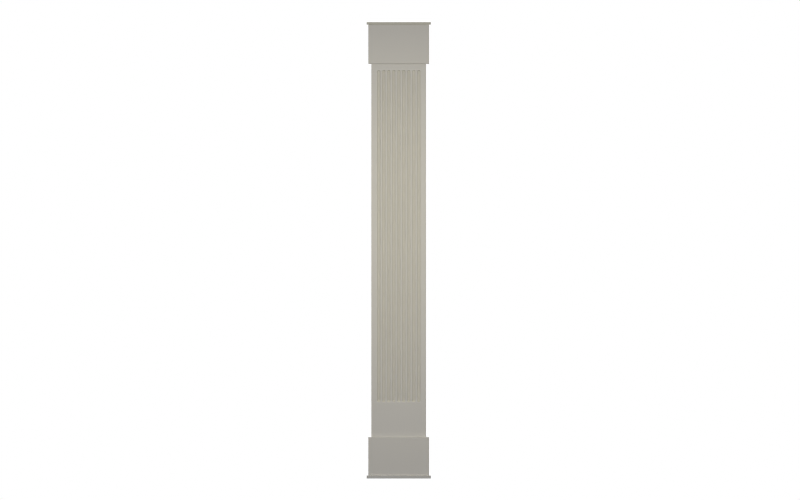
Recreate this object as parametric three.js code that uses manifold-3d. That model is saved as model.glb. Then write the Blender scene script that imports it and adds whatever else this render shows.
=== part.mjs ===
// A square, fluted porch column, built up from mitred boards as a hollow box.
//
// Four fluted boards make the shaft, from the porch floor to the beam. Four plain boards
// wrap its head as a capital and four more wrap its foot as a base. A thin strip lies over
// each capital board and under each base board and stands out past it as a narrow plate.
// The column stays open from end to end, so that it can be built around a structural post.
//
// Millimetres, +Z up. The origin is the centre of the foot, on the floor, and -Y is the front.

import * as THREE from "three";
import { mergeVertices } from "three/addons/utils/BufferGeometryUtils.js";
import Module from "manifold-3d";

// Driving dimensions, with the sheet sizes that the boards are cut from
const COLUMN_HEIGHT = 2438.4; // 96 in
const SHAFT_WIDTH = 292.1; // 11 1/2 in, over the fluted faces
const BOARD_THICKNESS = 15.875; // 5/8 in sheet, for the shaft, the capital and the base
const HEAD_STRIP_THICKNESS = 12.7; // 1/2 in sheet, for the head plate
const FOOT_STRIP_THICKNESS = 15.875; // 5/8 in sheet, for the foot plate
const CAPITAL_HEIGHT = 210.0; // one capital board
const BASE_HEIGHT = 204.8; // one base board
const PLATE_OVERHANG = 9.2; // how far a plate stands out past its boards

// Flutes, cut with a round-nosed bit that leaves a round end above and below
const FLUTES_PER_FACE = 9;
const FLUTE_PITCH = 26.7;
const FLUTE_WIDTH = 20.0;
const FLUTE_DEPTH = 5.7;
const FLUTE_FOOT = 407.5; // lowest point of a flute, above the floor
const FLUTE_HEAD = 2184.0; // highest point of a flute

// Hairlines that the joints keep open
const MITRE_GAP = 0.3; // between two mitred boards, square to the mitre
const COLLAR_GAP = 0.3; // between the shaft and what wraps it

// Facets of the bit's round nose
const BIT_SIDES = 24;
const BIT_NOSE_STEPS = 6;

const SAME_POINT = 1e-4; // corners closer than this are one corner

// Sizes that follow from those
const SHAFT_HALF = SHAFT_WIDTH / 2;
const COLLAR_INNER = SHAFT_HALF + COLLAR_GAP;
const COLLAR_HALF = COLLAR_INNER + BOARD_THICKNESS;
const PLATE_HALF = COLLAR_HALF + PLATE_OVERHANG;
const STRIP_WIDTH = PLATE_HALF - COLLAR_INNER;
const FLUTE_HALF = FLUTE_WIDTH / 2;
const BIT_RADIUS = (FLUTE_HALF ** 2 + FLUTE_DEPTH ** 2) / (2 * FLUTE_DEPTH); // from chord and depth

// Quarter turns about the column's axis that carry a front board to each side
const SIDES = [
  { side: "front", turn: 0 },
  { side: "right", turn: Math.PI / 2 },
  { side: "back", turn: Math.PI },
  { side: "left", turn: -Math.PI / 2 },
];

const shaftFinish = new THREE.MeshStandardMaterial({ color: 0xaeaba3, roughness: 0.55, metalness: 0 });
const collarFinish = new THREE.MeshStandardMaterial({ color: 0xaeaba2, roughness: 0.55, metalness: 0 });
const plateFinish = new THREE.MeshStandardMaterial({ color: 0xa6a39b, roughness: 0.65, metalness: 0 });

const wasm = await Module();
wasm.setup();

// A closed geometry as a solid that can be cut.
function solidOf(geometry) {
  const bare = geometry.clone();
  bare.deleteAttribute("normal");
  bare.deleteAttribute("uv");
  const merged = mergeVertices(bare, SAME_POINT);
  return new wasm.Manifold(
    new wasm.Mesh({
      numProp: 3,
      vertProperties: merged.attributes.position.array,
      triVerts: new Uint32Array(merged.index.array),
    }),
  );
}

// A cut solid as a geometry that can be drawn.
function geometryOf(solid) {
  const { vertProperties, triVerts } = solid.getMesh();
  const geometry = new THREE.BufferGeometry();
  geometry.setAttribute("position", new THREE.BufferAttribute(vertProperties, 3));
  geometry.setIndex(new THREE.BufferAttribute(triVerts, 1));
  geometry.computeVertexNormals();
  return geometry;
}

// A front board standing on the floor: its outer face is outerHalf in front of the column's
// axis, and its two edges are mitred, so its plan is a trapezium that narrows inwards.
function mitredBoard(outerHalf, thickness, height) {
  const setBack = MITRE_GAP / Math.SQRT2; // along X, for half of the gap square to a 45 degree face
  const innerHalf = outerHalf - thickness;
  const plan = new THREE.Shape();
  plan.moveTo(-outerHalf + setBack, -outerHalf);
  plan.lineTo(outerHalf - setBack, -outerHalf);
  plan.lineTo(innerHalf - setBack, -innerHalf);
  plan.lineTo(-innerHalf + setBack, -innerHalf);
  plan.closePath();
  return new THREE.ExtrudeGeometry(plan, { depth: height, bevelEnabled: false });
}

// The path of the round-nosed bit for one flute of the front face, with its axis proud of the face.
function bitPath(x) {
  const run = FLUTE_HEAD - FLUTE_FOOT - FLUTE_WIDTH; // between the centres of the two round ends
  const path = new THREE.CapsuleGeometry(BIT_RADIUS, run, BIT_NOSE_STEPS, BIT_SIDES);
  path.rotateX(Math.PI / 2);
  path.translate(x, -SHAFT_HALF - BIT_RADIUS + FLUTE_DEPTH, (FLUTE_FOOT + FLUTE_HEAD) / 2);
  return path;
}

// The front shaft board, with its row of flutes cut.
function flutedBoard() {
  let board = solidOf(mitredBoard(SHAFT_HALF, BOARD_THICKNESS, COLUMN_HEIGHT));
  for (let flute = 0; flute < FLUTES_PER_FACE; flute++) {
    const x = (flute - (FLUTES_PER_FACE - 1) / 2) * FLUTE_PITCH;
    board = board.subtract(solidOf(bitPath(x)));
  }
  return geometryOf(board);
}

const shaftBoard = flutedBoard();
const capitalBoard = mitredBoard(COLLAR_HALF, BOARD_THICKNESS, CAPITAL_HEIGHT);
const baseBoard = mitredBoard(COLLAR_HALF, BOARD_THICKNESS, BASE_HEIGHT);
const headStrip = mitredBoard(PLATE_HALF, STRIP_WIDTH, HEAD_STRIP_THICKNESS);
const footStrip = mitredBoard(PLATE_HALF, STRIP_WIDTH, FOOT_STRIP_THICKNESS);

// One side's boards, from the foot up. Each stands on the one before, against the shaft.
function columnSide({ side, turn }) {
  const headStripFoot = COLUMN_HEIGHT - HEAD_STRIP_THICKNESS;
  const boards = new THREE.Group();
  boards.rotation.z = turn;
  const place = (name, geometry, finish, z) => {
    const board = new THREE.Mesh(geometry, finish);
    board.name = `${name}_${side}`;
    board.position.z = z;
    boards.add(board);
  };
  place("shaft_board", shaftBoard, shaftFinish, 0);
  place("foot_strip", footStrip, plateFinish, 0);
  place("base_board", baseBoard, collarFinish, FOOT_STRIP_THICKNESS);
  place("capital_board", capitalBoard, collarFinish, headStripFoot - CAPITAL_HEIGHT);
  place("head_strip", headStrip, plateFinish, headStripFoot);
  return boards;
}

const column = new THREE.Group();
column.name = "porch_column";
SIDES.forEach((side) => column.add(columnSide(side)));

export default column;
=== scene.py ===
import math

import bmesh
import bpy
import numpy as np
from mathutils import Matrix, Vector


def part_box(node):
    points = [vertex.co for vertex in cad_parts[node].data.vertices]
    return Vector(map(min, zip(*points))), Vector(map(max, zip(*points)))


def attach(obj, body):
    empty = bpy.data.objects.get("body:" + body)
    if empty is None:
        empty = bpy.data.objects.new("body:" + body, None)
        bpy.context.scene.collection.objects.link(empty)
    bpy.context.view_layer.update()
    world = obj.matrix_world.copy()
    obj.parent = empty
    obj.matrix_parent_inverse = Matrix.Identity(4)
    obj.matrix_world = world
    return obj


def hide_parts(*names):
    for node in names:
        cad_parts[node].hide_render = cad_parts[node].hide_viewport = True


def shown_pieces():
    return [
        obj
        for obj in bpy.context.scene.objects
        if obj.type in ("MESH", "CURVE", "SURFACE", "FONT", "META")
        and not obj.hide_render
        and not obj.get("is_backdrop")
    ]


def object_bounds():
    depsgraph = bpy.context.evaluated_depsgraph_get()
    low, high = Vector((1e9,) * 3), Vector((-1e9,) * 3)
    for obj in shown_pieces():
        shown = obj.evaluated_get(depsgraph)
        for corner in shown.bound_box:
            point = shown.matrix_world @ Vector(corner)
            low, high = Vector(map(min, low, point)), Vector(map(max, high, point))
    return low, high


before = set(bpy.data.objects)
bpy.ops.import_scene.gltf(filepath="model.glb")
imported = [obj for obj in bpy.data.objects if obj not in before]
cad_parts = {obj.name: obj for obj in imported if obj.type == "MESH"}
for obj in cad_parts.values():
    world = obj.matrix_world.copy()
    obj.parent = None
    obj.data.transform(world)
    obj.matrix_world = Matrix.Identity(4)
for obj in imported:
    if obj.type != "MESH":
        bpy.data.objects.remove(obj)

scene = bpy.context.scene
cadLow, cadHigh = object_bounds()  # the solids' box, before any board is dressed
columnHeight = cadHigh.z - cadLow.z
print("frame loaded: column", round(columnHeight, 4), "m tall")


# Shader nodes
mixSockets = {"share": 0, "first": 6, "second": 7, "result": 2}  # places of a Mix node's colour sockets


def feed(tree, socket, value):
    # Links a socket to another one, or sets it to a plain value
    if isinstance(value, bpy.types.NodeSocket):
        tree.links.new(value, socket)
    else:
        socket.default_value = value


def addNode(tree, kind, inputs=None, **settings):
    node = tree.nodes.new("ShaderNode" + kind)
    for key, value in settings.items():
        setattr(node, key, value)
    for key, value in (inputs or {}).items():
        feed(tree, node.inputs[key], value)
    return node


def tinted(tree, blend, share, first, second):
    # Two colours blended, by a share from 0 to 1
    node = addNode(tree, "Mix", data_type="RGBA", blend_type=blend)
    feed(tree, node.inputs[mixSockets["share"]], share)
    feed(tree, node.inputs[mixSockets["first"]], first)
    feed(tree, node.inputs[mixSockets["second"]], second)
    return node.outputs[mixSockets["result"]]


def maths(tree, operation, *values):
    node = addNode(tree, "Math", operation=operation)
    for socket, value in zip(node.inputs, values):
        feed(tree, socket, value)
    return node.outputs["Value"]


def meanOf(tree, first, second):
    return maths(tree, "MULTIPLY", maths(tree, "ADD", first, second), 0.5)


def newPaint(name):
    material = bpy.data.materials.new(name)
    material.use_nodes = True
    return material, material.node_tree.nodes["Principled BSDF"]


# Camera, square on to the front and so far off that nothing converges
photo = {
    "width": 800,  # pixels
    "middleColumn": 400,
    "middleRow": 250,
    "axisColumn": 398.71,  # where the column stands in the picture
    "headRow": 22.2,
    "footRow": 478.5,
    "blur": 1.0,
    "cameraDistance": 9.0,  # metres in front of the axis
}


def makeCamera():
    metresPerPixel = columnHeight / (photo["footRow"] - photo["headRow"])
    lens = bpy.data.cameras.new("photoCamera")
    lens.type = "ORTHO"
    lens.ortho_scale = photo["width"] * metresPerPixel
    camera = bpy.data.objects.new("photoCamera", lens)
    camera.location = (
        (photo["middleColumn"] - photo["axisColumn"]) * metresPerPixel,
        -photo["cameraDistance"],
        cadLow.z + (photo["footRow"] - photo["middleRow"]) * metresPerPixel,
    )
    camera.rotation_euler = (math.pi / 2, 0, 0)
    scene.collection.objects.link(camera)
    scene.camera = camera
    scene.view_settings.view_transform = "Standard"
    scene.cycles.filter_width = photo["blur"]


# Studio: plain white as the camera sees it, with a pale floor, a warm panel before each side and one above
studio = {
    "backdrop": (1, 1, 1, 1),  # as the camera sees it
    "glow": (2.134, 2.265, 3.026, 1),  # the surroundings glow level with the column, and are dim elsewhere
    "dim": (0.02, 0.02, 0.02, 1),
    "glowFrom": 0.42,  # how high the glow stands, from 0 straight down to 1 straight up
    "glowAt": 0.52,
    "glowTo": 0.64,
    "floorRadius": 60.0,
    "floorPoints": 64,
    "floorColour": (0.14, 0.14, 0.14, 1),
    "floorGlowColour": (1, 1, 1, 1),
    "floorGlow": 0.64,  # the floor is pale where no lamp reaches too
    "floorRoughness": 0.9,
    "floorShine": 0.1,
    "panelDistance": 2.4,
    "panelHeight": 2.35,
    "panelTilt": 68.5,  # degrees down from level
    "panelSize": (1.2, 0.6),
    "frontWatts": 80.0,
    "frontColour": (1.0, 0.965, 0.788),
    "sideWatts": 60.0,
    "sideColour": (1.0, 0.965, 0.80),
    "sideSetBack": 0.8,  # the side panels hang behind the front face, so its flutes don't catch them
    "topHeight": 5.0,  # one more panel, straight above, for the head and the ledges
    "topSize": (0.28, 0.28),
    "topWatts": 40.0,
    "topColour": (1.0, 0.965, 0.88),
}


def makeSurroundings():
    # The light of the surroundings follows the height that a ray comes from, and the camera sees plain white
    world = bpy.data.worlds.new("studio")
    world.use_nodes = True
    tree = world.node_tree
    heading = addNode(tree, "TexCoord").outputs["Generated"]
    rise = addNode(tree, "SeparateXYZ", {"Vector": heading}).outputs["Z"]
    place = addNode(tree, "MapRange", {"Value": rise, "From Min": -1.0}).outputs["Result"]
    ramp = addNode(tree, "ValToRGB", {"Fac": place})
    lower, upper = ramp.color_ramp.elements
    lower.position = studio["glowFrom"]
    lower.color = studio["dim"]
    upper.position = studio["glowTo"]
    upper.color = studio["dim"]
    ramp.color_ramp.elements.new(studio["glowAt"]).color = studio["glow"]
    seen = addNode(tree, "LightPath").outputs["Is Camera Ray"]
    shown = tinted(tree, "MIX", seen, ramp.outputs["Color"], studio["backdrop"])
    tree.links.new(shown, tree.nodes["Background"].inputs["Color"])
    scene.world = world


def makePanel(name, watts, colour, size, place, turn):
    light = bpy.data.lights.new(name, "AREA")
    light.energy = watts
    light.color = colour
    light.shape = "RECTANGLE"
    light.size, light.size_y = size
    panel = bpy.data.objects.new(name, light)
    panel.location = place
    panel.rotation_euler = turn
    panel.visible_camera = False
    scene.collection.objects.link(panel)


def makeSidePanel(name, quarter, setBack, watts, colour):
    # Hangs before one side of the column and faces that side, tilted well down
    turn = quarter * math.pi / 2
    away = studio["panelDistance"]
    place = (away * math.sin(turn), setBack - away * math.cos(turn), studio["panelHeight"])
    tilt = math.pi / 2 - math.radians(studio["panelTilt"])
    makePanel(name, watts, colour, studio["panelSize"], place, (tilt, 0, turn))


def makePanels():
    makeSidePanel("frontPanel", 0, 0, studio["frontWatts"], studio["frontColour"])
    makeSidePanel("rightPanel", 1, studio["sideSetBack"], studio["sideWatts"], studio["sideColour"])
    makeSidePanel("backPanel", 2, 0, studio["frontWatts"], studio["frontColour"])
    makeSidePanel("leftPanel", 3, studio["sideSetBack"], studio["sideWatts"], studio["sideColour"])
    above = (0, 0, studio["topHeight"])
    makePanel("topPanel", studio["topWatts"], studio["topColour"], studio["topSize"], above, (0, 0, 0))


def makeFloor():
    # A flat disc, one ring of points
    angle = np.linspace(0, 2 * np.pi, studio["floorPoints"], endpoint=False)
    ring = np.stack([np.cos(angle), np.sin(angle), np.zeros(angle.size)], 1) * studio["floorRadius"]
    mesh = bpy.data.meshes.new("floor")
    mesh.from_pydata((ring + (0, 0, cadLow.z)).tolist(), [], [list(range(angle.size))])
    floor = bpy.data.objects.new("floor", mesh)
    floor.visible_diffuse = False  # it shows, and takes shadows, but throws no light back up
    floor.visible_glossy = False
    scene.collection.objects.link(floor)
    paint, shader = newPaint("floorPaint")
    shader.inputs["Base Color"].default_value = studio["floorColour"]
    shader.inputs["Emission Color"].default_value = studio["floorGlowColour"]
    shader.inputs["Emission Strength"].default_value = studio["floorGlow"]
    shader.inputs["Roughness"].default_value = studio["floorRoughness"]
    shader.inputs["Specular IOR Level"].default_value = studio["floorShine"]
    mesh.materials.append(paint)
    floor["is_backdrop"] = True


makeCamera()
makeSurroundings()
makePanels()
makeFloor()
print("camera, lamps and floor made")


# Finishes
def grain(tree, place, board, scale, detail, stretch=(1, 1, 1)):
    # Noise of its own on every board: the board's number is the fourth coordinate
    stretched = addNode(tree, "Mapping", {"Vector": place, "Scale": stretch}).outputs["Vector"]
    inputs = {"Vector": stretched, "W": board, "Scale": scale, "Detail": detail}
    return addNode(tree, "TexNoise", inputs, noise_dimensions="4D").outputs[0]


def marked(tree, mark):
    return addNode(tree, "Attribute", attribute_name=mark).outputs["Fac"]


def shaded(colour, by):
    return tuple(channel * by for channel in colour) + (1,)


sheet = {
    "cloudScale": 4.0,  # per metre: broad cloudiness in the colour
    "cloudDetail": 3.0,
    "drawScale": 240.0,  # long draw lines up the board
    "drawDetail": 2.0,
    "drawStretch": (1, 1, 0.012),
    "pebbleScale": 1500.0,  # fine satin pebble
    "pebbleDetail": 1.0,
    "pebbleDepth": 0.00003,  # metres
    "bumpStrength": 0.5,
    "spread": 0.032,  # how far the colour can stray to either side
    "roughness": (0.64, 0.80),
    "ior": 1.48,
    "routedTintAndHollowShade": (0.99, 0.985, 0.935, 1),  # the cut face is darker and warmer, partly its own tone and partly painted shade of the flutes' hollow
    "routedRoughness": 0.12,  # and that much rougher
    "ringScale": 210.0,  # the bit's rings, about 1.5 mm apart
    "ringWaver": 1.5,
    "rubAndRimHighlightTint": (1.09, 1.09, 1.09, 1),  # arrises rubbed a little lighter; on the flutes' rims and the ridges between them the same lightening is a painted highlight
}


def sheetFinish(name, colour):
    # Satin sheet: broad clouds and long draw lines in the colour, a fine pebble in the surface.
    # Where it was routed the cut is rougher, with the bit's rings across it, and darker and warmer, partly as
    # its own tone and partly as painted shade in the flutes' hollow.
    material, shader = newPaint(name)
    tree = material.node_tree
    place = addNode(tree, "TexCoord").outputs["Object"]
    board = marked(tree, "board")
    routed = marked(tree, "routed")
    arris = marked(tree, "arris")
    clouds = grain(tree, place, board, sheet["cloudScale"], sheet["cloudDetail"])
    drawn = grain(tree, place, board, sheet["drawScale"], sheet["drawDetail"], sheet["drawStretch"])
    pebble = grain(tree, place, board, sheet["pebbleScale"], sheet["pebbleDetail"])

    dark = shaded(colour, 1 - sheet["spread"])
    pale = shaded(colour, 1 + sheet["spread"])
    colours = tinted(tree, "MIX", meanOf(tree, clouds, drawn), dark, pale)
    # painted shade in part: the routed flutes are tinted darker and warmer for the shade in their hollow
    colours = tinted(tree, "MULTIPLY", routed, colours, sheet["routedTintAndHollowShade"])
    # painted highlight: flute rims and the ridges between them are lightened; the board arrises are rubbed
    # lighter
    colours = tinted(tree, "MULTIPLY", arris, colours, sheet["rubAndRimHighlightTint"])
    tree.links.new(colours, shader.inputs["Base Color"])

    low, high = sheet["roughness"]
    rough = maths(tree, "MULTIPLY_ADD", drawn, high - low, low)
    rough = maths(tree, "ADD", rough, maths(tree, "MULTIPLY", routed, sheet["routedRoughness"]))
    tree.links.new(rough, shader.inputs["Roughness"])

    waves = {"Vector": place, "Scale": sheet["ringScale"], "Distortion": sheet["ringWaver"]}
    rings = addNode(tree, "TexWave", waves, bands_direction="Z").outputs["Fac"]
    height = maths(tree, "ADD", pebble, maths(tree, "MULTIPLY", rings, routed))
    relief = {"Height": height, "Strength": sheet["bumpStrength"], "Distance": sheet["pebbleDepth"]}
    tree.links.new(addNode(tree, "Bump", relief).outputs["Normal"], shader.inputs["Normal"])
    shader.inputs["IOR"].default_value = sheet["ior"]
    return material


sawn = {
    "kerfScale": 110.0,  # saw lines about 3 mm apart
    "kerfTurn": (0.3, 0.5, 0.2),  # radians: the lines cross every cut aslant
    "kerfWaver": 3.0,
    "foamScale": 2600.0,  # the cut cells of the foam
    "foamDetail": 1.0,
    "depth": 0.00008,
    "bumpStrength": 0.6,
    "spread": 0.04,
    "roughness": 0.85,
}


def sawnFinish(name, colour):
    # Cut foam core: chalky and matt, with the blade's lines across it and fine open cells
    material, shader = newPaint(name)
    tree = material.node_tree
    place = addNode(tree, "TexCoord").outputs["Object"]
    foam = grain(tree, place, marked(tree, "board"), sawn["foamScale"], sawn["foamDetail"])
    turned = addNode(tree, "Mapping", {"Vector": place, "Rotation": sawn["kerfTurn"]}).outputs["Vector"]
    waves = {"Vector": turned, "Scale": sawn["kerfScale"], "Distortion": sawn["kerfWaver"]}
    kerf = addNode(tree, "TexWave", waves).outputs["Fac"]
    mottle = meanOf(tree, foam, kerf)
    dark = shaded(colour, 1 - sawn["spread"])
    pale = shaded(colour, 1 + sawn["spread"])
    tree.links.new(tinted(tree, "MIX", mottle, dark, pale), shader.inputs["Base Color"])
    relief = {"Height": mottle, "Strength": sawn["bumpStrength"], "Distance": sawn["depth"]}
    tree.links.new(addNode(tree, "Bump", relief).outputs["Normal"], shader.inputs["Normal"])
    shader.inputs["Roughness"].default_value = sawn["roughness"]
    return material


# The cut core is paler than the sheet, partly as sawn foam and partly as painted light: the ledges throw more
# light up onto the faces above them
coreColourPaledForLedgeLight = (0.56, 0.545, 0.50)
# The strips' flats are far paler than their edges, as painted light: the foot strip's ledge throws more light
# up onto the base above it
flatColourPaledForLedgeLight = (0.75, 0.742, 0.745)
coreFinish = sawnFinish("cutCore", coreColourPaledForLedgeLight)
flatFinish = sheetFinish("stripFlat", flatColourPaledForLedgeLight)  # the strips lie flat, so their ends are sheet faces
print("core and strip flats finished")


# Boards
eased = {
    "steps": 4,  # facets of an eased edge
    "rub": 0.28,  # how far an arris is rubbed lighter, as a share of the painted highlight on a flute's rim
    "sharpAngle": 40.0,  # degrees: an edge sharper than this stays crisp
}
quarterTurns = {"front": 0, "right": 1, "back": 2, "left": 3}  # a front board turned about Z makes the others
outerFace, cutCore, cutEnd = 0, 1, 2  # a board's finishes, in their order
cutWalls = 3  # the two mitres and the inner face, the last walls of a board's section
weldDistance = 1e-6
numberStep = 3.7  # between two boards' numbers


def frontBoard(node):
    # Sizes of a front board, read from its solid
    low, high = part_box(node)
    return {"outer": -low.y, "inner": -high.y, "foot": low.z, "head": high.z, "hairline": -low.y - high.x}


def sectionCarriedUp(size, piece, columns, rows):
    # A mitred front board as its section carried up Z. The section runs round the board: the left arris,
    # the outer face, the right arris, the mitre, the inner face, the mitre. An arris is an eighth of a
    # circle that ends on the diagonal x = -y, so that two boards share one round corner. Near each end
    # the outer face draws in along a quarter circle, which eases the end's edge in the same way.
    # columns are places across the outer face, from -1 to 1, and rows are heights between the two ends.
    ease, footEase, headEase = piece["ease"], piece["footEase"], piece["headEase"]
    endTurn = np.linspace(0, np.pi / 2, eased["steps"] + 1)[1:]
    z = np.concatenate([
        size["foot"] + footEase * (1 - np.sin(endTurn[::-1])),
        rows,
        size["head"] - headEase * (1 - np.sin(endTurn)),
    ])
    drawnIn = 1 - np.cos(endTurn)
    setIn = np.concatenate([footEase * drawnIn[::-1], np.zeros(rows.size), headEase * drawnIn])
    reach = size["outer"] - setIn

    turn = np.linspace(0, np.pi / 4, eased["steps"] + 1)[1:]
    straight = (reach - ease)[:, None]
    arcX = straight + ease * np.sin(turn)
    arcX[:, -1] -= size["hairline"]
    arcY = -straight - ease * np.cos(turn)
    faceX = straight * columns
    faceY = np.repeat(-reach[:, None], columns.size, 1)
    innerX = np.repeat([[size["inner"] - size["hairline"], size["hairline"] - size["inner"]]], z.size, 0)
    innerY = np.full_like(innerX, -size["inner"])
    x = np.concatenate([-arcX[:, ::-1], faceX, arcX, innerX], 1)
    y = np.concatenate([arcY[:, ::-1], faceY, arcY, innerY], 1)
    points = np.stack([x, y, np.repeat(z[:, None], x.shape[1], 1)], -1)

    # How much of an arris each point is: 1 in the middle of an eased edge, 0 on a flat
    across = np.concatenate([np.sin(2 * turn[::-1]), np.zeros(columns.size), np.sin(2 * turn), [0, 0]])
    along = np.concatenate([np.sin(2 * endTurn[::-1]), np.zeros(rows.size), np.sin(2 * endTurn)])
    return points, eased["rub"] * np.maximum(across[None, :], along[:, None])


def quadsRound(shape):
    # Quads of grids that are each closed round their last axis and open along the one before it
    index = np.arange(math.prod(shape)).reshape(shape)
    following = np.roll(index, -1, -1)
    corners = index[..., :-1, :], following[..., :-1, :], following[..., 1:, :], index[..., 1:, :]
    return np.stack(corners, -1)


def turnedTo(side, points):
    # A front board's points, turned about Z by whole quarters
    quarter = quarterTurns[side]
    cosine, sine = (1, 0, -1, 0)[quarter], (0, 1, 0, -1)[quarter]
    return points @ np.array([[cosine, sine, 0], [-sine, cosine, 0], [0, 0, 1]])


def boardNumber():
    # Each board's own number, so that no two have the same clouds
    return numberStep * len(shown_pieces())


def addBoard(name, side, finishes, tube, arris, routing=None):
    # Closes the tube with its two end faces, fits any flute cells into the opening left for them, welds
    # them, and turns the front board to its own side
    rows, columns = tube.shape[:2]
    quads = quadsRound((rows, columns))
    keep = np.ones(quads.shape[:2], bool)
    slots = np.full(quads.shape[:2], outerFace)
    slots[:, -cutWalls:] = cutCore
    if routing:
        opening, cells, cellMarks = routing
        keep[opening] = False
    points, faces, slots = tube.reshape(-1, 3), quads[keep], slots[keep]
    marks = np.stack([arris.ravel(), np.zeros(arris.size)], 1)  # how much lighter each point is (rubbed arrises, and a painted highlight on flute rims) and how routed it is
    if routing:
        cellQuads = quadsRound(cells.shape[:3])[..., [0, 3, 2, 1]]  # wound the other way, to face out
        faces = np.concatenate([faces, cellQuads.reshape(-1, 4) + len(points)])
        slots = np.concatenate([slots, np.full(cellQuads.size // 4, outerFace)])
        points = np.concatenate([points, cells.reshape(-1, 3)])
        cellMarks = np.broadcast_to(cellMarks[None, :, None], cells.shape[:3] + (2,))
        marks = np.concatenate([marks, cellMarks.reshape(-1, 2)])
    ends = np.stack([np.arange(columns)[::-1], np.arange(columns) + (rows - 1) * columns])
    slots = np.concatenate([slots, [cutEnd, cutEnd]])

    used = np.unique(np.concatenate([faces.ravel(), ends.ravel()]))
    faces = np.searchsorted(used, faces)
    ends = np.searchsorted(used, ends)
    points, marks = points[used], marks[used]

    mesh = bpy.data.meshes.new(name)
    mesh.from_pydata(turnedTo(side, points).tolist(), [], faces.tolist() + ends.tolist())
    mesh.polygons.foreach_set("material_index", slots)
    number = np.full(len(points), boardNumber())
    for mark, values in (("arris", marks[:, 0]), ("routed", marks[:, 1]), ("board", number)):
        mesh.attributes.new(mark, "FLOAT", "POINT").data.foreach_set("value", values.astype(np.float32))
    shell = bmesh.new()
    shell.from_mesh(mesh)
    bmesh.ops.remove_doubles(shell, verts=shell.verts, dist=weldDistance)
    shell.to_mesh(mesh)
    shell.free()
    mesh.polygons.foreach_set("use_smooth", np.ones(len(mesh.polygons), bool))
    mesh.set_sharp_from_angle(angle=math.radians(eased["sharpAngle"]))
    for finish in finishes:
        mesh.materials.append(finish)
    board = bpy.data.objects.new(name, mesh)
    scene.collection.objects.link(board)
    board.modifiers.new("flatFaces", "WEIGHTED_NORMAL").keep_sharp = True
    return board


# Capital, base and plates, with the radii of their eased edges: both arrises, the lower edge, the upper edge
plainGrid = {"columns": 9, "rows": 6}
capital = {
    "node": "capital_board",
    "slot": "collar_board",
    "colour": (0.415, 0.397, 0.357),
    "ease": 0.0013,
    "footEase": 0.0030,
    "headEase": 0.0018,
}
capital["finishes"] = sheetFinish("capitalSheet", capital["colour"]), coreFinish, coreFinish
base = {
    "node": "base_board",
    "slot": "collar_board",
    "colour": (0.420, 0.402, 0.361),
    "ease": 0.0013,
    "footEase": 0.0006,
    "headEase": 0.0009,
}
base["finishes"] = sheetFinish("baseSheet", base["colour"]), coreFinish, coreFinish
headStrip = {
    "node": "head_strip",
    "slot": "plate_strip",
    "colour": (0.378, 0.361, 0.297),
    "ease": 0.0009,
    "footEase": 0.0008,
    "headEase": 0.0008,
}
headStrip["finishes"] = sheetFinish("headStripEdge", headStrip["colour"]), coreFinish, flatFinish
footStrip = {
    "node": "foot_strip",
    "slot": "plate_strip",
    "colour": (0.378, 0.366, 0.335),
    "ease": 0.0009,
    "footEase": 0.0009,
    "headEase": 0.0016,
}
footStrip["finishes"] = sheetFinish("footStripEdge", footStrip["colour"]), coreFinish, flatFinish


def plainBoard(name, side, piece):
    size = frontBoard(piece["node"] + "_front")
    columns = np.linspace(-1, 1, plainGrid["columns"])
    rows = np.linspace(size["foot"] + piece["footEase"], size["head"] - piece["headEase"], plainGrid["rows"])
    tube, arris = sectionCarriedUp(size, piece, columns, rows)
    return addBoard(name, side, piece["finishes"], tube, arris)


# Shaft, with its flutes
shaft = {
    "node": "shaft_board",
    "slot": "shaft_board",
    "colour": (0.420, 0.403, 0.365),
    "ease": 0.0010,
    "footEase": 0.0010,
    "headEase": 0.0010,
}
shaft["finishes"] = sheetFinish("shaftSheet", shaft["colour"]), coreFinish, coreFinish
flutes = {
    "count": 9,
    "pitch": 0.0267,
    "width": 0.0200,
    "depth": 0.0057,
    "foot": 0.4075,  # lowest and highest points of a flute
    "head": 2.184,
    "endLength": 0.0130,  # a round end, a little longer than half the width, as the bit is drawn out
    "rim": 0.0003,  # radius of the eased rim
    "cutSteps": 10,  # facets from the middle of a flute to its rim
    "rimSteps": 3,
    "endSteps": 6,  # facets in each eighth of a turn round an end
    "runSteps": 14,  # and up the straight run
    "marginSteps": 3,  # columns and rows of the plain face round the flutes
}


def fluteSection():
    # Half of a flute's section from its middle out: an arc of a circle, as a round-nosed bit cuts it, then
    # the eased rim, a small arc that bends back until it lies on the face. The two arcs meet at one slope,
    # which is twice the slope of the straight line from the flute's middle to its edge.
    half, rim = flutes["width"] / 2, flutes["rim"]
    slope = 2 * math.atan2(flutes["depth"], half)
    radius = half / math.sin(slope) - rim
    turn = np.linspace(0, slope, flutes["cutSteps"] + 1)
    ease = np.linspace(slope, 0, flutes["rimSteps"] + 1)[1:]
    across = np.concatenate([radius * np.sin(turn), half - rim * np.sin(ease)])
    sunk = np.concatenate([flutes["depth"] - radius * (1 - np.cos(turn)), rim * (1 - np.cos(ease))])
    routed = np.concatenate([np.ones(turn.size), ease / slope])
    return across, sunk, routed


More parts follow.
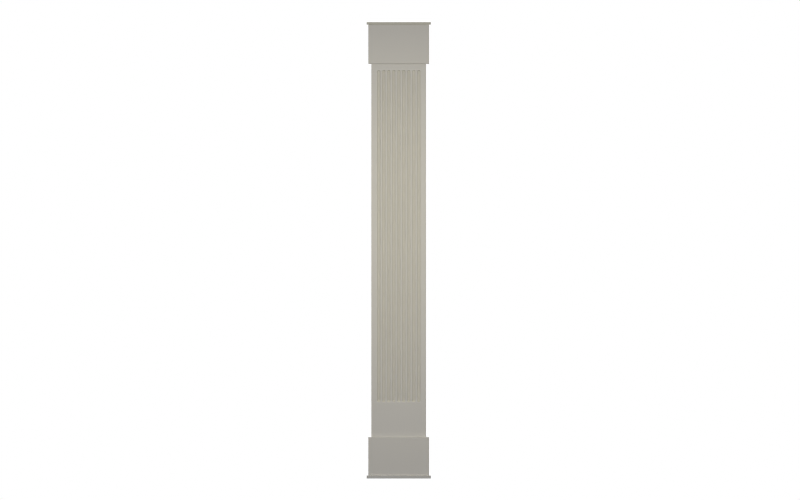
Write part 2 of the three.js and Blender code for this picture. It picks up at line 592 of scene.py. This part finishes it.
def fluteCells(outer):
    # Each flute is its section carried round a long loop: up one side, round the head, down the other
    # side and round the foot, with both round ends drawn out lengthwise. A last ring squares the loop off
    # into a cell that meets its neighbours.
    across, sunk, routed = fluteSection()
    half = flutes["pitch"] / 2
    stretch = flutes["endLength"] / (flutes["width"] / 2)
    low = flutes["foot"] + flutes["endLength"]
    high = flutes["head"] - flutes["endLength"]
    run = np.linspace(low, high, flutes["runSteps"] + 1)
    bend = np.linspace(0, np.pi, 4 * flutes["endSteps"] + 1)[:-1]
    heading = np.concatenate([np.zeros(run.size - 1), bend, np.full(run.size - 1, np.pi), np.pi + bend])
    middle = np.concatenate([run[:-1], np.full(bend.size, high), run[:0:-1], np.full(bend.size, low)])
    border = half / np.maximum(np.abs(np.cos(heading)), np.abs(np.sin(heading)))
    out = np.concatenate([np.repeat(across[:, None], heading.size, 1), border[None, :]])
    fluteX = (np.arange(flutes["count"]) - (flutes["count"] - 1) / 2) * flutes["pitch"]
    x = fluteX[:, None, None] + out * np.cos(heading)
    z = np.repeat((middle + stretch * out * np.sin(heading))[None], fluteX.size, 0)
    y = np.broadcast_to(np.append(sunk, 0)[None, :, None] - outer, x.shape)
    # the rim is lightened by a painted highlight that fades out across the ridge to the cell's border; the
    # cut is marked routed
    marks = np.stack([np.append(1 - routed, 0), np.append(routed, 0)], 1)

    # The lines of the plain face's grid that run into the cells' borders
    eighth = half * np.tan(np.linspace(-np.pi / 4, np.pi / 4, 2 * flutes["endSteps"] + 1))
    fieldX = np.append((fluteX[:, None] + eighth[:-1]).ravel(), fluteX[-1] + half)
    upper = stretch * eighth[flutes["endSteps"]:]
    fieldZ = np.concatenate([low - upper[:0:-1], run, high + upper[1:]])
    return np.stack([x, y, z], -1), marks, fieldX, fieldZ


def withMargins(first, field, last):
    # The field's grid lines, with evenly spaced ones before and after them
    before = np.linspace(first, field[0], flutes["marginSteps"] + 1)[:-1]
    after = np.linspace(field[-1], last, flutes["marginSteps"] + 1)[1:]
    return np.concatenate([before, field, after])


def flutedBoard(name, side, piece):
    size = frontBoard(piece["node"] + "_front")
    cells, cellMarks, fieldX, fieldZ = fluteCells(size["outer"])
    columns = withMargins(-1, fieldX / (size["outer"] - piece["ease"]), 1)
    rows = withMargins(size["foot"] + piece["footEase"], fieldZ, size["head"] - piece["headEase"])
    tube, arris = sectionCarriedUp(size, piece, columns, rows)
    first = eased["steps"] + flutes["marginSteps"]  # row and column where the flutes' field begins
    opening = np.s_[first:first + fieldZ.size - 1, first:first + fieldX.size - 1]
    return addBoard(name, side, piece["finishes"], tube, arris, (opening, cells, cellMarks))


def settle(board, side, piece):
    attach(board, "root")
    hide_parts(piece["node"] + "_" + side)


plainPieces = {"capitalBoard": capital, "baseBoard": base, "headStrip": headStrip, "footStrip": footStrip}
for side in quarterTurns:
    settle(flutedBoard("flutedBoard" + side.capitalize(), side, shaft), side, shaft)
    for name, piece in plainPieces.items():
        settle(plainBoard(name + side.capitalize(), side, piece), side, piece)
    print(side, "boards made")
